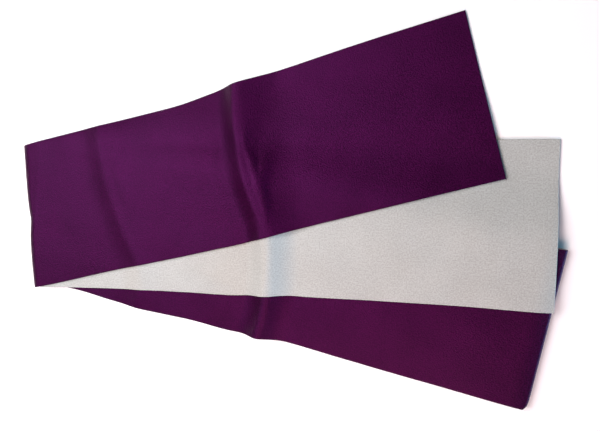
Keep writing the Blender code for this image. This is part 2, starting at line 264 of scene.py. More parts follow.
def along_table(rows: tuple, column: str, at: Numbers) -> np.ndarray:
    """One column of a table, run smoothly through its rows.

    Args:
        rows: The table, each row with a field named along.
        column: The field to read.
        at: Places along.

    Returns:
        The column's value at each place.
    """
    places = np.array([row.along for row in rows])
    values = np.array([getattr(row, column) for row in rows])
    slopes = np.gradient(values, places)
    at = np.clip(np.asarray(at, float), places[0], places[-1])
    low = np.clip(np.searchsorted(places, at, side="right") - 1, 0, len(places) - 2)
    length = places[low + 1] - places[low]
    t = (at - places[low]) / length
    return (
        (1.0 + 2.0 * t) * (1.0 - t) ** 2 * values[low]
        + t * (1.0 - t) ** 2 * length * slopes[low]
        + t * t * (3.0 - 2.0 * t) * values[low + 1]
        + t * t * (t - 1.0) * length * slopes[low + 1]
    )


def rotate(x: Numbers, y: Numbers, degrees: float) -> tuple[Numbers, Numbers]:
    """Turns places about the near corner of the left folds.

    Args:
        x, y: The places.
        degrees: The angle, counted from X to Y.

    Returns:
        X and Y of each place after the turn.
    """
    turn = math.radians(degrees)
    return x * math.cos(turn) - y * math.sin(turn), x * math.sin(turn) + y * math.cos(turn)


def width_places() -> np.ndarray:
    """Places across a cloth, close together at its two edges.

    Returns:
        The places, from the near edge on.
    """
    lip = np.array(LIP_PLACES)
    count = round((WIDTH - 2.0 * lip[-1]) / COLUMN_SPACING)
    inner = np.linspace(lip[-1], WIDTH - lip[-1], count + 1)[1:-1]
    return np.concatenate([lip, inner, WIDTH - lip[::-1]])


def normals_of(grid: np.ndarray) -> np.ndarray:
    """Normals of a grid of points, outward on an arm's upper leg and a little longer where it bends.

    Args:
        grid: Points by section and column.

    Returns:
        The normal at each point.
    """
    steps = np.diff(grid, axis=0)
    steps = steps / np.linalg.norm(steps, axis=2, keepdims=True)
    before = np.concatenate([steps[:1], steps])
    after = np.concatenate([steps, steps[-1:]])
    along = before + after
    along = along / np.linalg.norm(along, axis=2, keepdims=True)
    normal = np.cross(along, np.gradient(grid, axis=1))
    normal = normal / np.linalg.norm(normal, axis=2, keepdims=True)
    return normal / np.sum(along * after, axis=2, keepdims=True)


@dataclass(frozen=True)
class Arm:
    """One arm of the folded obi: two cloths that turn back on themselves at the left.

    Its places run along it from the near corner of the left folds, and across it from its near edge. Its
    level is that of the leg that turns under at the left, counted from the lowest up.
    """

    turn: float
    fold_near: float
    fold_far: float
    end_near: float
    end_far: float
    level: int
    scallop: float
    edges: tuple[Edge, ...]
    creases: tuple[Crease, ...]
    bows: tuple[Bow, ...] = ()
    under: "Arm | None" = None

    @property
    def free_end(self) -> bool:
        """Whether the arm ends at the right in a sewn end, and not in a fold."""
        return self.under is not None

    def place(self, along: Numbers, across: np.ndarray) -> tuple[np.ndarray, np.ndarray]:
        """X and Y of places along and across the arm."""
        return rotate(along, across, self.turn)

    def local(self, x: np.ndarray, y: np.ndarray) -> tuple[np.ndarray, np.ndarray]:
        """How far along and across the arm points given in X and Y lie."""
        return rotate(x, y, -self.turn)

    def lean(self, along: Numbers, share: Numbers) -> np.ndarray:
        """How far a section leans along the arm, so that the sections near the tallest crease run with it.

        Args:
            along: The section's place at the near edge.
            share: Shares of the width.

        Returns:
            The lean at each share.
        """
        tallest = self.creases[-1]
        fade = smooth((np.abs(along - tallest.near) - LEAN_HOLD) / LEAN_FADE)
        return (tallest.line(share) - tallest.near) * (1.0 - fade)

    def swell(
        self, along: np.ndarray, across: np.ndarray, height: float = 1.0, reach: float = 1.0,
    ) -> np.ndarray:
        """How far the arm's pressed creases lift it.

        Args:
            along: Places along the arm.
            across: Places across the arm.
            height: The creases' height, as a share of their own.
            reach: Their slopes' length, as a share of their own.

        Returns:
            The lift at each place.
        """
        v = np.clip(across / WIDTH, 0.0, 1.0)
        lift = np.zeros(np.broadcast(along, across).shape)
        for crease in self.creases:
            off = along - crease.line(v)
            side = reach * np.where(off < 0.0, crease.steep, crease.gentle)
            share = np.clip(np.abs(off) / side, 0.0, 1.0)
            down = (np.hypot(share, PEAK_ROUND) - PEAK_ROUND) / (math.hypot(1.0, PEAK_ROUND) - PEAK_ROUND)
            lift = lift + height * crease.height * (1.0 - down) ** 2
        return lift

    def end_place(self, share: np.ndarray) -> np.ndarray:
        """Where along the arm its upper sections end.

        Args:
            share: Shares of the width.

        Returns:
            The end at each share.
        """
        end = self.end_near + (self.end_far - self.end_near) * share
        if self.free_end:
            return end
        corner = np.clip(1.0 - share * WIDTH / CORNER_ROUND_WIDTH, 0.0, 1.0)
        return end - TIP_RADIUS - HALF - CORNER_ROUND * corner * corner

    def tip_drop(self, along: np.ndarray) -> np.ndarray:
        """How far the arm has sunk towards its right fold."""
        start = self.end_far - TIP_RADIUS - HALF - TIP_DROP_REACH
        return TIP_DROP * np.clip((along - start) / TIP_DROP_REACH, 0.0, 1.0) ** 2

    def hidden_top(self, x: np.ndarray, y: np.ndarray, creased: bool = True) -> np.ndarray:
        """Height of the upper side of the hidden layers, which lie under this arm.

        Args:
            x, y: The points.
            creased: Whether the pressed creases count.

        Returns:
            The height at each point.
        """
        along, across = self.local(x, y)
        height = HIDDEN_HEIGHT + SPRING * np.clip(1.0 - along / SPRING_REACH, 0.0, 1.0) ** 2
        height = height - self.tip_drop(along)
        if creased:
            height = height + self.swell(along, across)
        return height

    def lower_side(self, x: np.ndarray, y: np.ndarray, creased: bool = True) -> np.ndarray:
        """Height of the arm's lower side where it lies on what is under it, or on the surface.

        Args:
            x, y: The points.
            creased: Whether the pressed creases count.

        Returns:
            The height at each point.
        """
        if self.under is None:
            return self.hidden_top(x, y, creased) + GAP_ON_HIDDEN
        under = self.under
        along, across = under.local(x, y)
        edge = along_table(under.edges, "far", along)
        beyond = np.maximum(across - edge - EDGE_CLEARANCE, 0.0)
        inside = under.place(along, np.minimum(across, edge))
        held = 1.0 - smooth(beyond / FALL_REACH)
        flat = held * (under.height_at(*inside, LAYER, False) + GAP_ON_ARM)
        if not creased:
            return flat
        carried = held * (under.height_at(*inside, LAYER) + GAP_ON_ARM)
        own = flat + self.swell(*self.local(x, y))
        return 0.5 * (carried + own + np.hypot(carried - own, BLEND) - BLEND)

    def height_at(self, x: np.ndarray, y: np.ndarray, above: float, creased: bool = True) -> np.ndarray:
        """Height of what lies a distance above the arm's lower side, square to it.

        Args:
            x, y: The points.
            above: The distance, LAYER for the upper side and HALF for the middle.
            creased: Whether the pressed creases count.

        Returns:
            The height at each point.
        """
        here = self.lower_side(x, y, creased)
        rise_x = (self.lower_side(x + SLOPE_STEP, y, creased) - here) / SLOPE_STEP
        rise_y = (self.lower_side(x, y + SLOPE_STEP, creased) - here) / SLOPE_STEP
        return here + above * np.sqrt(1.0 + rise_x**2 + rise_y**2)

    def across_at(self, along: Numbers, share: np.ndarray) -> np.ndarray:
        """How far across the arm shares of its width lie."""
        near, far = (along_table(self.edges, side, along) for side in ("near", "far"))
        return near + (far - near) * share

    def leg_middle(self) -> float:
        """Height of the middle of the leg that turns under at the left."""
        return self.level * LOWER_LEG_PITCH + HALF

    def fold_place(self, share: np.ndarray) -> np.ndarray:
        """Where along the arm its left fold lies, at shares of its width."""
        line = self.fold_near + (self.fold_far - self.fold_near) * share
        return line - along_table(self.bows, "out", share) if self.bows else line

    def fold_radius(self, share: np.ndarray) -> np.ndarray:
        """Radius of the left fold, worked out from the height that the upper leg has there.

        Args:
            share: Shares of the width.

        Returns:
            The radius at each share.
        """
        radius = np.full_like(share, FOLD_RADIUS_GUESS)
        for _ in range(FOLD_RADIUS_ROUNDS):
            along = self.fold_place(share) + radius
            x, y = self.place(along, self.across_at(along, share))
            radius = 0.5 * (self.height_at(x, y, HALF) - self.leg_middle())
        return radius

    def upper_places(self, share: np.ndarray) -> np.ndarray:
        """Places along the arm of its upper sections.

        Args:
            share: Shares of the width.

        Returns:
            The places, a row a section and a column a share.
        """
        start = self.fold_place(share) + self.fold_radius(share)
        end = self.end_place(share)
        lip = np.array(LIP_PLACES) if self.free_end else np.array([0.0])
        stop = end[0] - lip[-1]
        count = math.ceil((stop - start[0]) / SECTION_SPACING)
        along = np.concatenate([np.linspace(start[0], stop, count + 1), end[0] - lip[-2::-1]])
        settled = smooth((along - start[0]) / FOLD_SETTLES)
        ending = np.maximum(along - ENDING_FROM, 0.0) / (end[0] - ENDING_FROM)
        rows = along[:, None] + np.outer(1.0 - settled, start - start[0]) + np.outer(ending, end - end[0])
        return rows + self.lean(along[:, None], share)

    def ripple(self, along: np.ndarray, across: np.ndarray) -> np.ndarray:
        """The cloth's soft unevenness, away from where it turns.

        Args:
            along: Places along the arm.
            across: Places across the arm.

        Returns:
            The height at each place.
        """
        height = np.zeros(np.broadcast(along, across).shape)
        for wave in RIPPLES:
            run = along * math.cos(wave.heading) + across * math.sin(wave.heading)
            phase = 2.0 * math.pi * run / wave.length + wave.start + self.level
            height = height + wave.height * np.sin(phase)
        into = smooth((along - self.fold_near) / RIPPLE_FADE) * smooth((self.end_near - along) / RIPPLE_FADE)
        raised = smooth(self.lower_side(*self.place(along, across)) / RIPPLE_HEIGHT_ABOVE)
        return height * into * raised

    def middle_grid(self, share: np.ndarray) -> np.ndarray:
        """The middle of the two cloths, from the leg under the arm, round the left fold, to the right end.

        Args:
            share: Shares of the width, one for each column.

        Returns:
            Points in millimetres, by section and column.
        """
        radius = self.fold_radius(share)
        fold = self.fold_place(share)
        fold_x, fold_y = self.place(fold, self.across_at(fold, share))
        bottom = BOTTOM_ARM
        angles = np.linspace(-0.5 * math.pi, 0.5 * math.pi, FOLD_SECTIONS + 1)[:-1, None]
        inward = radius * (1.0 - np.cos(angles))
        heading = np.radians(np.where(angles > 0.0, self.turn, bottom.turn))
        turned = np.stack([
            fold_x + inward * np.cos(heading),
            fold_y + inward * np.sin(heading),
            self.leg_middle() + radius + radius * np.sin(angles),
        ], axis=-1)
        end_x, end_y = bottom.place(LOWER_LEG_END, bottom.across_at(LOWER_LEG_END, share))
        leg_end = np.stack([end_x, end_y, np.full_like(share, self.leg_middle())], axis=-1)
        shares = np.linspace(0.0, 1.0, LOWER_LEG_SECTIONS + 1)[:-1, None, None]
        leg = leg_end + (turned[0] - leg_end) * shares
        along = self.upper_places(share)
        across = self.across_at(along, share)
        x, y = self.place(along, across)
        upper = np.stack([x, y, self.height_at(x, y, HALF) + self.ripple(along, across)], axis=-1)
        tip = [] if self.free_end else [self.tip_grid(share)]
        return np.concatenate([leg, turned, upper, *tip])

    def tip_grid(self, share: np.ndarray) -> np.ndarray:
        """The middle of the two cloths round the right fold and along the leg that turns back under it.

        Args:
            share: Shares of the width.

        Returns:
            Points in millimetres, by section and column.
        """
        centre = self.end_place(share)
        across = self.across_at(centre, share)
        top = self.height_at(*self.place(centre, across), HALF)
        slope = 2.0 * TIP_DROP / TIP_DROP_REACH
        angles = np.linspace(0.5 * math.pi, -0.5 * math.pi, TIP_SECTIONS + 1)[1:, None]
        out = TIP_RADIUS * np.cos(angles)
        x, y = self.place(centre + out, across)
        height = top - TIP_RADIUS + TIP_RADIUS * np.sin(angles) - slope * out
        turned = np.stack([x, y, height], axis=-1)
        back = np.linspace(0.0, TIP_LEG, TIP_LEG_SECTIONS + 1)[1:, None]
        along = centre - back
        x, y = self.place(along, self.across_at(along, share))
        leg = np.stack([x, y, self.height_at(x, y, HALF) - 2.0 * TIP_RADIUS], axis=-1)
        return np.concatenate([turned, leg])


BOTTOM_ARM = Arm(
    turn=-10.25, fold_near=8.6, fold_far=8.6, end_near=555.0, end_far=557.2, level=2,
    scallop=0.05,
    edges=(
        Edge(0.0, 6.5, 164.0),
        Edge(60.0, 7.6, 165.0),
        Edge(92.0, 5.3, 163.5),
        Edge(136.0, 3.7, 162.0),
        Edge(205.0, 5.2, 163.0),
        Edge(238.0, 4.4, 162.5),
        Edge(275.0, 6.6, 164.0),
        Edge(305.0, 7.4, 165.0),
        Edge(370.0, 4.9, 163.0),
        Edge(450.0, 2.0, 161.0),
        Edge(558.0, -1.6, 160.0),
    ),
    creases=(
        Crease(130.0, 127.0, 90.0, 2.0, 24.0, 34.0),
        Crease(276.0, 280.0, 256.0, 10.0, 26.0, 32.0),
    ),
)
MIDDLE_ARM = Arm(
    turn=0.0, fold_near=6.2, fold_far=20.4, end_near=565.9, end_far=567.5, level=1,
    scallop=0.16,
    edges=(
        Edge(0.0, 0.3, 160.0),
        Edge(61.0, 1.6, 161.0),
        Edge(126.0, 2.4, 161.5),
        Edge(199.0, 2.2, 162.0),
        Edge(250.0, 1.6, 161.5),
        Edge(290.0, 4.5, 163.0),
        Edge(330.0, 3.7, 163.0),
        Edge(400.0, 3.3, 162.2),
        Edge(480.0, 2.2, 161.2),
        Edge(568.0, -0.9, 159.6),
    ),
    creases=(
        Crease(143.0, 131.0, 114.0, 2.2, 24.0, 34.0),
        Crease(283.0, 291.0, 267.0, 10.0, 26.0, 32.0),
    ),
    under=BOTTOM_ARM,
)
TOP_ARM = Arm(
    turn=13.4, fold_near=3.0, fold_far=42.0, end_near=536.0, end_far=534.0, level=0,
    scallop=0.06,
    edges=(
        Edge(0.0, -0.4, 158.8),
        Edge(40.0, -1.3, 158.9),
        Edge(110.0, -1.5, 157.2),
        Edge(190.0, -3.4, 154.4),
        Edge(240.0, -3.9, 153.1),
        Edge(266.0, -4.2, 154.8),
        Edge(300.0, -2.6, 157.2),
        Edge(350.0, -1.8, 157.5),
        Edge(430.0, -0.7, 159.0),
        Edge(536.0, -0.4, 159.2),
    ),
    creases=(
        Crease(146.0, 135.0, 143.0, 3.0, 28.0, 34.0),
        Crease(302.0, 293.0, 304.0, 10.0, 26.0, 56.0),
    ),
    bows=(
        Bow(0.0, 2.4),
        Bow(0.18, 2.6),
        Bow(0.4, 1.0),
        Bow(0.48, -1.0),
        Bow(0.56, 0.0),
        Bow(1.0, 0.0),
    ),
    under=MIDDLE_ARM,
)


class Wiring:
    """Adds nodes to a node tree and links them."""

    def __init__(self, tree: bpy.types.NodeTree) -> None:
        """Keeps the tree that nodes are added to."""
        self.tree = tree

    def add(self, kind: str, inputs: dict | None = None, **settings: object) -> bpy.types.Node:
        """One node.

        Args:
            kind: The node's type.
            inputs: A value, or a socket to link from, for each input's name or number.
            settings: The node's own properties.

        Returns:
            The node.
        """
        node = self.tree.nodes.new(kind)
        for name, value in settings.items():
            setattr(node, name, value)
        for name, value in (inputs or {}).items():
            if isinstance(value, bpy.types.NodeSocket):
                self.tree.links.new(value, node.inputs[name])
            else:
                node.inputs[name].default_value = value
        return node

    def math(self, operation: str, first: object, second: object = 0.0) -> bpy.types.NodeSocket:
        """The result of one Math node."""
        return self.add("ShaderNodeMath", {0: first, 1: second}, operation=operation).outputs[0]

    def noise(self, place: bpy.types.NodeSocket, scale: object, detail: float) -> bpy.types.NodeSocket:
        """The value of one noise texture."""
        inputs = {"Vector": place, "Scale": scale, "Detail": detail}
        return self.add("ShaderNodeTexNoise", inputs).outputs["Fac"]


def new_group(name: str, inputs: dict[str, tuple[str, object]], outputs: dict[str, str]) -> tuple:
    """An empty shader node group with named sockets.

    Args:
        name: The group's name.
        inputs: A socket type and a default for each input.
        outputs: A socket type for each output.

    Returns:
        The group, its wiring, its input node and its output node.
    """
    group = bpy.data.node_groups.new(name, "ShaderNodeTree")
    for label, (kind, default) in inputs.items():
        socket = group.interface.new_socket(label, in_out="INPUT", socket_type=kind)
        if default is not None:
            socket.default_value = default
    for label, kind in outputs.items():
        group.interface.new_socket(label, in_out="OUTPUT", socket_type=kind)
    wiring = Wiring(group)
    return group, wiring, group.nodes.new("NodeGroupInput"), group.nodes.new("NodeGroupOutput")


def weave_group() -> bpy.types.ShaderNodeTree:
    """A plain weave with slightly uneven yarns, from places on the cloth in millimetres.

    Returns:
        The node group.
    """
    group, wiring, given, made = new_group(
        "plain weave",
        {
            "Place": ("NodeSocketVector", None),
            "Yarn Pitch": ("NodeSocketFloat", None),
            "Unevenness": ("NodeSocketFloat", UNEVENNESS),
        },
        {"Height": "NodeSocketFloat", "Yarn Tone": "NodeSocketFloat"},
    )
    place = given.outputs["Place"]
    wander = wiring.math("SUBTRACT", wiring.noise(place, WANDER_SCALE, WANDER_DETAIL), 0.5)
    shift = wiring.math("MULTIPLY", wander, given.outputs["Unevenness"])
    parts = wiring.add("ShaderNodeSeparateXYZ", {"Vector": place})
    turns = wiring.math("DIVIDE", math.pi, given.outputs["Yarn Pitch"])
    warp, weft = (
        wiring.math("SINE", wiring.math("MULTIPLY", wiring.math("ADD", parts.outputs[axis], shift), turns))
        for axis in ("Y", "X")
    )
    crossing = wiring.math("MULTIPLY", warp, weft)
    height = wiring.math("ADD", wiring.math("MULTIPLY", crossing, 0.5), 0.5)
    wiring.tree.links.new(height, made.inputs["Height"])
    streaks = wiring.add("ShaderNodeMapping", {"Vector": place, "Scale": STREAK_SCALES})
    tone = wiring.noise(streaks.outputs["Vector"], 1.0, STREAK_DETAIL)
    wiring.tree.links.new(tone, made.inputs["Yarn Tone"])
    return group


def handling_group() -> bpy.types.ShaderNodeTree:
    """Patches from handling and pressing, and fine grain, from places on the cloth in millimetres.

    Returns:
        The node group.
    """
    group, wiring, given, made = new_group(
        "handling",
        {"Place": ("NodeSocketVector", None), "Patch Size": ("NodeSocketFloat", PATCH_SIZE)},
        {"Patch": "NodeSocketFloat", "Grain": "NodeSocketFloat"},
    )
    scale = wiring.math("DIVIDE", 1.0, given.outputs["Patch Size"])
    patch = wiring.noise(given.outputs["Place"], scale, PATCH_DETAIL)
    grain = wiring.noise(given.outputs["Place"], GRAIN_SCALE, GRAIN_DETAIL)
    wiring.tree.links.new(patch, made.inputs["Patch"])
    wiring.tree.links.new(grain, made.inputs["Grain"])
    return group


@dataclass(frozen=True)
class ClothFinish:
    """The finish of one of the two cloths."""

    name: str
    deep: tuple[float, float, float]
    light: tuple[float, float, float]
    roughness: float
    sheen: float
    sheen_roughness: float
    sheen_tint: tuple[float, float, float]
    specular: float
    specular_tint: tuple[float, float, float]
    yarn_pitch: float
    weave_depth: float
    grain_depth: float

    def material(self, weave: bpy.types.NodeTree, handling: bpy.types.NodeTree) -> bpy.types.Material:
        """Builds the material.

        Args:
            weave: The plain weave's node group.
            handling: The handling's node group.

        Returns:
            The finished material.
        """
        made = bpy.data.materials.new(self.name)
        made.use_nodes = True
        made.node_tree.nodes.clear()
        wiring = Wiring(made.node_tree)
        shader = wiring.add("ShaderNodeBsdfPrincipled", {
            "Sheen Weight": self.sheen,
            "Sheen Roughness": self.sheen_roughness,
            "Sheen Tint": (*self.sheen_tint, 1.0),
            "Specular IOR Level": self.specular,
            "Specular Tint": (*self.specular_tint, 1.0),
        })
        wiring.add("ShaderNodeOutputMaterial", {"Surface": shader.outputs["BSDF"]})
        uv = wiring.add("ShaderNodeUVMap", uv_map=CLOTH_UV)
        to_mm = (1.0 / MM, 1.0 / MM, 1.0)
        place = wiring.add("ShaderNodeMapping", {"Vector": uv.outputs["UV"], "Scale": to_mm})
        woven = wiring.add("ShaderNodeGroup", node_tree=weave)
        woven.inputs["Yarn Pitch"].default_value = self.yarn_pitch
        handled = wiring.add("ShaderNodeGroup", node_tree=handling)
        for node in (woven, handled):
            wiring.tree.links.new(place.outputs["Vector"], node.inputs["Place"])
        tone = 0.0
        for part, share in (
            (handled.outputs["Patch"], PATCH_SHARE), (handled.outputs["Grain"], GRAIN_SHARE),
            (woven.outputs["Yarn Tone"], YARN_SHARE), (woven.outputs["Height"], THREAD_SHARE),
        ):
            tone = wiring.math("ADD", tone, wiring.math("MULTIPLY", part, share))
        ramp = wiring.add("ShaderNodeMapRange", {"Value": tone, "From Min": TONE_LOW, "From Max": TONE_HIGH})
        mixed = wiring.add("ShaderNodeMix", {"Factor": ramp.outputs["Result"]}, data_type="RGBA")
        mixed.inputs[MIX_FIRST].default_value = (*self.deep, 1.0)
        mixed.inputs[MIX_SECOND].default_value = (*self.light, 1.0)
        wiring.tree.links.new(mixed.outputs[MIX_RESULT], shader.inputs["Base Color"])
        rough = wiring.add("ShaderNodeMapRange", {
            "Value": handled.outputs["Grain"],
            "To Min": self.roughness - ROUGHNESS_SPREAD, "To Max": self.roughness + ROUGHNESS_SPREAD,
        })
        wiring.tree.links.new(rough.outputs["Result"], shader.inputs["Roughness"])
        threads = wiring.add("ShaderNodeBump", {
            "Height": woven.outputs["Height"], "Strength": 1.0, "Distance": self.weave_depth * MM,
        })
        grained = wiring.add("ShaderNodeBump", {
            "Height": handled.outputs["Grain"], "Strength": 1.0, "Distance": self.grain_depth * MM,
            "Normal": threads.outputs["Normal"],
        })
        wiring.tree.links.new(grained.outputs["Normal"], shader.inputs["Normal"])
        return made


PURPLE_FACE = ClothFinish(
    name="purple face cloth",
    deep=(0.0035, 0.0000, 0.0028), light=(0.0280, 0.0008, 0.0205),
    roughness=0.43, sheen=0.05, sheen_roughness=0.45, sheen_tint=(0.62, 0.06, 0.54),
    specular=0.3, specular_tint=(0.9, 0.11, 0.82),
    yarn_pitch=0.6, weave_depth=0.05, grain_depth=0.5,
)
PALE_REVERSE = ClothFinish(
    name="pale reverse cloth",
    deep=(0.335, 0.342, 0.321), light=(0.450, 0.469, 0.444),
    roughness=0.5, sheen=0.16, sheen_roughness=0.45, sheen_tint=(0.95, 0.95, 1.0),
    specular=0.4, specular_tint=(1.0, 1.0, 1.0),
    yarn_pitch=0.7, weave_depth=0.06, grain_depth=0.2,
)


def add_mesh(name: str, points: np.ndarray, quads: np.ndarray, places: np.ndarray) -> bpy.types.Object:
    """Adds one piece from points in millimetres and quads.

    Args:
        name: The piece's name.
        points: Its points, in millimetres from the near corner of the left folds.
        quads: Its faces, four point numbers each.
        places: Where each point lies on the flat cloth, in millimetres.

    Returns:
        The new object.
    """
    mesh = bpy.data.meshes.new(name)
    mesh.vertices.add(len(points))
    mesh.vertices.foreach_set("co", ((points - MIDDLE) * MM).astype(np.float32).ravel())
    mesh.loops.add(quads.size)
    mesh.loops.foreach_set("vertex_index", quads.astype(np.int32).ravel())
    mesh.polygons.add(len(quads))
    mesh.polygons.foreach_set("loop_start", np.arange(0, quads.size, 4, dtype=np.int32))
    mesh.update(calc_edges=True)
    layer = mesh.uv_layers.new(name=CLOTH_UV)
    layer.data.foreach_set("uv", (places[quads.ravel()] * MM).astype(np.float32).ravel())
    mesh.shade_smooth()
    piece = bpy.data.objects.new(name, mesh)
    bpy.context.scene.collection.objects.link(piece)
    return piece


def shell_quads(rows: int, columns: int) -> np.ndarray:
    """Faces of a closed shell: an outer grid of points, an inner one numbered after it, and their rim.

    Args:
        rows: Rows of each grid.
        columns: Columns of each grid.

    Returns:
        The faces, four point numbers each.
    """
    index = np.arange(rows * columns).reshape(rows, columns)
    corners = [index[:-1, :-1], index[1:, :-1], index[1:, 1:], index[:-1, 1:]]
    outer = np.stack(corners, axis=-1).reshape(-1, 4)
    inner = (outer + index.size)[:, ::-1]
    rim = np.concatenate([index[0, :-1], index[:-1, -1], index[-1, :0:-1], index[:0:-1, 0]])
    after = np.roll(rim, -1)
    border = np.stack([rim, after, after + index.size, rim + index.size], axis=-1)
    return np.concatenate([outer, inner, border])


@dataclass
class ClothWall:
    """One of an arm's two cloths, a thin closed shell with turned edges."""

    node: str
    arm: Arm
    side: Side
    finish: ClothFinish
    rests_on: tuple[str, ...] = ()
    piece: bpy.types.Object | None = field(default=None, init=False)

    def lip(self, into: np.ndarray) -> np.ndarray:
        """How full the cloth is at a distance from its turned edge, from nearly 0 to 1."""
        share = np.clip(into / LIP_ROUND, 0.0, 1.0)
        return LIP_LEAST + (1.0 - LIP_LEAST) * np.sqrt(np.clip(1.0 - (1.0 - share) ** 2, 0.0, 1.0))

    def build(self) -> None:
        """Makes the cloth's mesh."""
        places = width_places()
        grid = self.arm.middle_grid(places / WIDTH)
        rows, columns = grid.shape[:2]
        middle = grid[:, columns // 2]
        run = np.concatenate([[0.0], np.cumsum(np.linalg.norm(np.diff(middle, axis=0), axis=1))])
        near = np.broadcast_to(places, (rows, columns))
        far = WIDTH - near
        to_end = np.broadcast_to((run[-1] - run)[:, None], (rows, columns))
        into = np.minimum(near, far)
        full = self.lip(into) * (self.lip(to_end) if self.arm.free_end else 1.0)
        pressed = LIP_PRESS * np.clip(1.0 - into / LIP_PRESS_REACH, 0.0, 1.0) ** 2
        grid = grid + self.scallops(grid, run, near, far)
        normal = normals_of(grid)
        middle_of_wall = self.side.value * (0.5 * (WALL + SEAM_GAP) - pressed)[..., None]
        thickness = 0.5 * WALL * full[..., None]
        outer = grid + normal * (middle_of_wall + thickness)
        inner = grid + normal * (middle_of_wall - thickness)
        points = np.concatenate([outer.reshape(-1, 3), inner.reshape(-1, 3)])
        flat = np.stack([np.broadcast_to(run[:, None], near.shape), near], axis=-1).reshape(-1, 2)
        name = self.node.replace("_arm_", "_arm_cloth_")
        self.piece = add_mesh(name, points, shell_quads(rows, columns), np.tile(flat, (2, 1)))

    def scallops(self, grid: np.ndarray, run: np.ndarray, near: np.ndarray, far: np.ndarray) -> np.ndarray:
        """How far each point is drawn in by the seam's stitches.

        Args:
            grid: Points by section and column.
            run: How far along the cloth each section lies.
            near, far: Each point's distance from the near and the far edge.

        Returns:
            The move of each point.
        """
        across = grid[:, -1:] - grid[:, :1]
        across = across / np.linalg.norm(across, axis=2, keepdims=True)
        pull = self.arm.scallop * (0.5 + 0.5 * np.cos(2.0 * math.pi * run / STITCH_PITCH))[:, None]
        inward = pull * (np.exp(-near / STITCH_REACH) - np.exp(-far / STITCH_REACH))
        return inward[..., None] * across

    def dress(self, material: bpy.types.Material) -> None:
        """Gives the cloth its material, hangs it on the root body and hides the part of the model that it
        replaces.

        Args:
            material: The finish's material.
        """
        self.piece.data.materials.append(material)
        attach(self.piece, "root")
        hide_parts(self.node)
        self.length() * MM

    def length(self) -> float:
        """Length of the cut that shows as this stretch, with what turns under at its folds."""
        middle = self.arm.middle_grid(np.array([0.0, 0.5, 1.0]))[:, 1]
        return float(np.linalg.norm(np.diff(middle, axis=0), axis=1).sum())


@dataclass(frozen=True)
class HiddenLayer:
    """One of the hidden layers: how far its long edges lie inside the bottom arm's, and its cloths."""

    near: float
    far: float
    lower: ClothFinish
    upper: ClothFinish


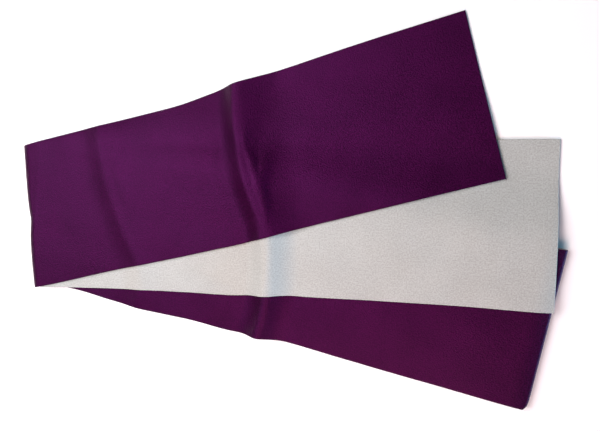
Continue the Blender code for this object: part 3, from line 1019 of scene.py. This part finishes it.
@dataclass
class HiddenLayers:
    """The five layers under the bottom arm, one piece with each layer's two cloths showing at the edges."""

    node: str = "hidden_layers"
    layers: tuple[HiddenLayer, ...] = (
        HiddenLayer(0.5, 1.1, PURPLE_FACE, PALE_REVERSE),
        HiddenLayer(1.3, 0.4, PALE_REVERSE, PURPLE_FACE),
        HiddenLayer(0.2, 1.4, PURPLE_FACE, PALE_REVERSE),
        HiddenLayer(1.0, 0.6, PALE_REVERSE, PURPLE_FACE),
        HiddenLayer(0.6, 0.9, PURPLE_FACE, PALE_REVERSE),
    )
    nose_layer: int = 3
    tip_layers: int = 4
    piece: bpy.types.Object | None = field(default=None, init=False)

    def levels(self, along: float, stretch: Stretch) -> np.ndarray:
        """Heights of the layers' borders at a section.

        Args:
            along: The section's place.
            stretch: The stretch that it belongs to.

        Returns:
            The heights, from the underside up.
        """
        arm = BOTTOM_ARM
        x, y = arm.place(np.array([along]), np.array([0.5 * WIDTH]))
        top = float(arm.hidden_top(x, y, False)[0])
        levels = np.linspace(0.0, top, len(self.layers) + 1)
        near_fold = 1.0 - float(smooth(np.array((along - BODY_START) / FOLD_SETTLES)))
        for k in range(1, self.nose_layer + 1):
            levels[k] += (k * LOWER_LEG_PITCH - levels[k]) * near_fold
        if stretch is Stretch.NOSE:
            levels[self.nose_layer] = NOSE_FLOOR
        levels[self.tip_layers] = 0.5 * (levels[self.nose_layer] + top)
        if stretch is Stretch.TIP:
            lowered = TIP_BODY_HEIGHT - float(arm.tip_drop(np.array(along)))
            levels[:self.tip_layers + 1] = np.linspace(0.0, lowered, self.tip_layers + 1)
            levels[-1] = lowered
        return levels

    def side(self, edges: list[float], levels: np.ndarray, inward: float, stretch: Stretch) -> list[tuple]:
        """Points of one long side at a section: two rounded lips a layer, with a groove between layers.

        Args:
            edges: How far across each layer's edge lies.
            levels: Heights of the layers' borders.
            inward: 1 on the near side and -1 on the far side.
            stretch: The stretch that it belongs to.

        Returns:
            Place across and height of each point, from the underside up.
        """
        turns = np.linspace(-1.0, 1.0, HIDDEN_LIP_POINTS)
        side = []
        for edge, low, high in zip(edges, levels[:-1], levels[1:]):
            for lip in range(2):
                centre = low + (high - low) * (0.25 + 0.5 * lip)
                for turn in turns:
                    deep = HIDDEN_LIP_DEPTH * (1.0 - math.sqrt(1.0 - turn * turn))
                    groove = HIDDEN_GROOVE if turn * (2 * lip - 1) == 1.0 else 0.0
                    height = centre + 0.25 * (high - low) * HIDDEN_LIP_FULL * turn
                    side.append((edge + inward * (deep + groove), height))
        if stretch is Stretch.NOSE:
            corner = self.nose_layer * HIDDEN_LAYER_POINTS
            for k in range(corner):
                side[k] = (side[corner][0] + inward * SQUEEZE_STEP * (corner - k), NOSE_FLOOR)
        if stretch is Stretch.TIP:
            corner = self.tip_layers * HIDDEN_LAYER_POINTS - 1
            for k in range(corner + 1, len(side)):
                side[k] = (side[corner][0] + inward * SQUEEZE_STEP * (k - corner), levels[-1])
        return side

    def ring(self, along: float, stretch: Stretch) -> list[tuple]:
        """One ring of the piece: near side up, upper side, far side down, underside.

        Args:
            along: The section's place.
            stretch: The stretch that it belongs to.

        Returns:
            Place across and height of each point.
        """
        arm = BOTTOM_ARM
        near = float(along_table(arm.edges, "near", along))
        far = float(along_table(arm.edges, "far", along + arm.lean(along, 1.0)))
        levels = self.levels(along, stretch)
        near_side = self.side([near + layer.near for layer in self.layers], levels, 1.0, stretch)
        far_side = self.side([far - layer.far for layer in self.layers], levels, -1.0, stretch)
        start, end = near + HIDDEN_UPPER_INSET, far - HIDDEN_UPPER_INSET
        upper = [(across, near_side[-1][1]) for across in np.linspace(start, end, HIDDEN_COLUMNS)]
        under = [(across, near_side[0][1]) for across in np.linspace(end, start, HIDDEN_COLUMNS)]
        return near_side + upper + far_side[::-1] + under

    def sections(self) -> list[tuple[float, Stretch]]:
        """Where the sections stand.

        Returns:
            The place of each section and the stretch that it belongs to.
        """
        arm = BOTTOM_ARM
        end = arm.end_near - HIDDEN_END_INSET
        step = float(arm.end_place(np.array(0.0))) - TIP_LEG - TIP_LEG_CLEARANCE
        angles = np.linspace(ROUND_FIRST_ANGLE, 0.5 * math.pi, ROUND_SECTIONS)
        nose = list(NOSE_START + NOSE_ROUND * (1.0 - np.cos(angles)))
        nose += list(np.linspace(nose[-1], NOSE_SECTION, NOSE_STEPS + 1)[1:])
        nose += list(np.linspace(NOSE_SECTION, BODY_START, NOSE_STEPS + 1)[1:])
        start = BODY_START + STEP_WALL
        stop = step - STEP_BEFORE_TIP
        body = np.linspace(start, stop, round((stop - start) / HIDDEN_SPACING) + 1)
        tip = list(np.linspace(step, end - HIDDEN_END_ROUND, TIP_BODY_SECTIONS))[:-1]
        tip += list(end - HIDDEN_END_ROUND * (1.0 - np.sin(0.5 * math.pi - angles[::-1])))
        stretches = ((nose, Stretch.NOSE), (body, Stretch.BODY), (tip, Stretch.TIP))
        return [(float(along), stretch) for places, stretch in stretches for along in places]

    def end_scale(self, along: float) -> float:
        """How much of the height the rounded ends leave at a section.

        Args:
            along: The section's place.

        Returns:
            The share that is left, 1 away from the ends.
        """
        nose = (NOSE_START + NOSE_ROUND - along) / NOSE_ROUND
        tip = (along - BOTTOM_ARM.end_near + HIDDEN_END_INSET + HIDDEN_END_ROUND) / HIDDEN_END_ROUND
        into = min(max(nose, tip, 0.0), 1.0)
        return math.sqrt(1.0 - into * into)

    def build(self) -> None:
        """Makes the piece's mesh, with the pale cloths' faces marked for the second material."""
        arm = BOTTOM_ARM
        rings, flats = [], []
        for along, stretch in self.sections():
            ring = np.array(self.ring(along, stretch))
            across, height = ring[:, 0], ring[:, 1]
            leaned = along + arm.lean(along, (across - across.min()) / (across.max() - across.min()))
            x, y = arm.place(leaned, across)
            lift = arm.swell(leaned, across)
            arch = arm.swell(leaned, across, ARCH, ARCH_REACH)
            share = (height - height.min()) / (height.max() - height.min())
            middle = 0.5 * (height.min() + height.max())
            z = middle + (height - middle) * self.end_scale(along)
            rings.append(np.stack([x, y, z + arch + (lift - arch) * share], axis=-1))
            flats.append(np.stack([leaned, across + height], axis=-1))
        points = np.array(rings)
        count = points.shape[1]
        index = np.arange(points.shape[0] * count).reshape(-1, count)
        after = np.roll(index, -1, axis=1)
        quads = np.stack([index[:-1], index[1:], after[1:], after[:-1]], axis=-1).reshape(-1, 4)
        flat = np.concatenate(flats)
        self.piece = add_mesh("hidden_layers_cloth", points.reshape(-1, 3), quads, flat)
        self.close_ends(index)
        self.mark_pale(count, points.shape[0])

    def close_ends(self, index: np.ndarray) -> None:
        """Closes both ends with a face each.

        Args:
            index: Point numbers, by section and round the ring.
        """
        shape = bmesh.new()
        shape.from_mesh(self.piece.data)
        shape.verts.ensure_lookup_table()
        for row, turned in ((index[0], False), (index[-1], True)):
            corners = [shape.verts[i] for i in (row[::-1] if turned else row)]
            shape.faces.new(corners).smooth = True
        shape.to_mesh(self.piece.data)
        shape.free()

    def mark_pale(self, count: int, rows: int) -> None:
        """Marks the faces of the pale cloths: their edges on both long sides, and the upper side.

        Args:
            count: Number of points in a ring.
            rows: Number of rings.
        """
        side = HIDDEN_LAYER_POINTS * len(self.layers)
        kinds = np.zeros(count, np.int32)
        for k, layer in enumerate(self.layers):
            for lip, finish in enumerate((layer.lower, layer.upper)):
                if finish is PALE_REVERSE:
                    low = k * HIDDEN_LAYER_POINTS + lip * HIDDEN_LIP_POINTS
                    kinds[low:low + HIDDEN_LIP_POINTS - 1] = 1
                    top = side + HIDDEN_COLUMNS + side - 1 - low
                    kinds[top - HIDDEN_LIP_POINTS + 1:top] = 1
        kinds[side:side + HIDDEN_COLUMNS - 1] = 1
        mesh = self.piece.data
        marks = np.zeros(len(mesh.polygons), np.int32)
        marks[:(rows - 1) * count] = np.tile(kinds, rows - 1)
        mesh.polygons.foreach_set("material_index", marks)

    def dress(self, purple: bpy.types.Material, pale: bpy.types.Material) -> None:
        """Gives the layers their two materials, hangs them on the root body and hides the part of the model
        that they replace.

        Args:
            purple: The face cloth's material.
            pale: The reverse cloth's material.
        """
        self.piece.data.materials.append(purple)
        self.piece.data.materials.append(pale)
        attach(self.piece, "root")
        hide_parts(self.node)


@dataclass(frozen=True)
class SoftLight:
    """A square area light that faces the middle of the obi: its place in metres, its side, power and colour.

    Its spread is the angle that its beam fills, in degrees.
    """

    name: str
    place: tuple[float, float, float]
    side: float
    power: float
    color: tuple[float, float, float]
    spread: float = 180.0

    def add(self) -> None:
        """Adds the light to the scene."""
        data = bpy.data.lights.new(self.name, "AREA")
        data.shape = "SQUARE"
        data.size = self.side
        data.energy = self.power
        data.color = self.color
        data.spread = math.radians(self.spread)
        light = bpy.data.objects.new(self.name, data)
        light.location = self.place
        toward = -Vector(self.place)
        light.rotation_euler = toward.to_track_quat("-Z", "Y").to_euler()
        bpy.context.scene.collection.objects.link(light)


@dataclass
class Studio:
    """The pale floor, the soft lights and the camera."""

    floor_side: float = 8.0
    floor_drop: float = 0.0003
    floor_roughness: float = 0.9
    floor_specular: float = 0.1
    floor_color: tuple[float, float, float] = (0.97, 0.97, 0.97)
    sky_color: tuple[float, float, float] = (1.0, 1.0, 1.0)
    sky_strength: float = 0.05
    lights: tuple[SoftLight, ...] = (
        SoftLight("left light", (-0.50, 0.12, 0.83), 0.7, 10.0, (0.92, 0.95, 1.0)),
        SoftLight("far light", (-0.300, 0.480, 0.950), 0.6, 4.3, (1.0, 0.90, 0.88)),
        SoftLight("near light", (0.00, -0.73, 0.80), 0.6, 8.8, (1.0, 0.66, 0.62)),
        SoftLight("low blue light", (5.70, -1.50, 0.81), 0.6, 2.6, (0.16, 0.62, 1.0), 16.0),
    )

    def build(self) -> None:
        """Adds all of it."""
        self.add_floor()
        self.add_sky()
        for light in self.lights:
            light.add()
        self.add_camera()
        bpy.context.scene.view_settings.view_transform = "Standard"

    def add_floor(self) -> None:
        """A plain pale floor just under the obi."""
        bpy.ops.object.select_all(action="DESELECT")
        bpy.ops.mesh.primitive_plane_add(size=self.floor_side, location=(0.0, 0.0, -self.floor_drop))
        floor = bpy.context.active_object
        floor.name = "floor"
        made = bpy.data.materials.new("pale floor")
        made.use_nodes = True
        shader = made.node_tree.nodes["Principled BSDF"]
        shader.inputs["Base Color"].default_value = (*self.floor_color, 1.0)
        shader.inputs["Roughness"].default_value = self.floor_roughness
        shader.inputs["Specular IOR Level"].default_value = self.floor_specular
        floor.data.materials.append(made)

    def add_sky(self) -> None:
        """An even pale surround."""
        world = bpy.data.worlds.new("studio")
        world.use_nodes = True
        background = world.node_tree.nodes["Background"]
        background.inputs["Color"].default_value = (*self.sky_color, 1.0)
        background.inputs["Strength"].default_value = self.sky_strength
        bpy.context.scene.world = world

    def add_camera(self) -> None:
        """The camera, above the obi's right half and tilted towards its left."""
        data = bpy.data.cameras.new("camera")
        data.sensor_fit = "HORIZONTAL"
        data.sensor_width = SENSOR_WIDTH
        data.lens = FOCAL_PIXELS * SENSOR_WIDTH / PHOTO_WIDTH
        data.clip_start = CLIP_START
        camera = bpy.data.objects.new("camera", data)
        axes = Matrix((CAMERA_RIGHT, CAMERA_UP, CAMERA_BACK)).transposed().to_4x4()
        camera.matrix_world = Matrix.Translation(CAMERA_PLACE) @ axes
        bpy.context.scene.collection.objects.link(camera)
        bpy.context.scene.camera = camera


def main() -> None:
    """Builds the studio, the cloths and the hidden layers."""
    logging.basicConfig(level=logging.INFO, format="%(name)s: %(message)s")
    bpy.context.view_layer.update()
    Studio().build()
    weave, handling = weave_group(), handling_group()
    materials = {finish: finish.material(weave, handling) for finish in (PURPLE_FACE, PALE_REVERSE)}
    walls = (
        ClothWall("top_arm_face", TOP_ARM, Side.OUTER, PURPLE_FACE),
        ClothWall("top_arm_reverse", TOP_ARM, Side.INNER, PALE_REVERSE, ("middle_arm_reverse",)),
        ClothWall("middle_arm_reverse", MIDDLE_ARM, Side.OUTER, PALE_REVERSE),
        ClothWall("middle_arm_face", MIDDLE_ARM, Side.INNER, PURPLE_FACE, ("bottom_arm_face",)),
        ClothWall("bottom_arm_face", BOTTOM_ARM, Side.OUTER, PURPLE_FACE),
        ClothWall("bottom_arm_reverse", BOTTOM_ARM, Side.INNER, PALE_REVERSE, ("hidden_layers",)),
    )
    for wall in walls:
        wall.build()
        wall.dress(materials[wall.finish])
        faces = len(wall.piece.data.polygons)
        log.info("%s: %d faces, cut %.0f mm long", wall.piece.name, faces, wall.length())
    hidden = HiddenLayers()
    hidden.build()
    hidden.dress(materials[PURPLE_FACE], materials[PALE_REVERSE])
    log.info("%s: %d faces", hidden.piece.name, len(hidden.piece.data.polygons))


if __name__ == "__main__":
    main()
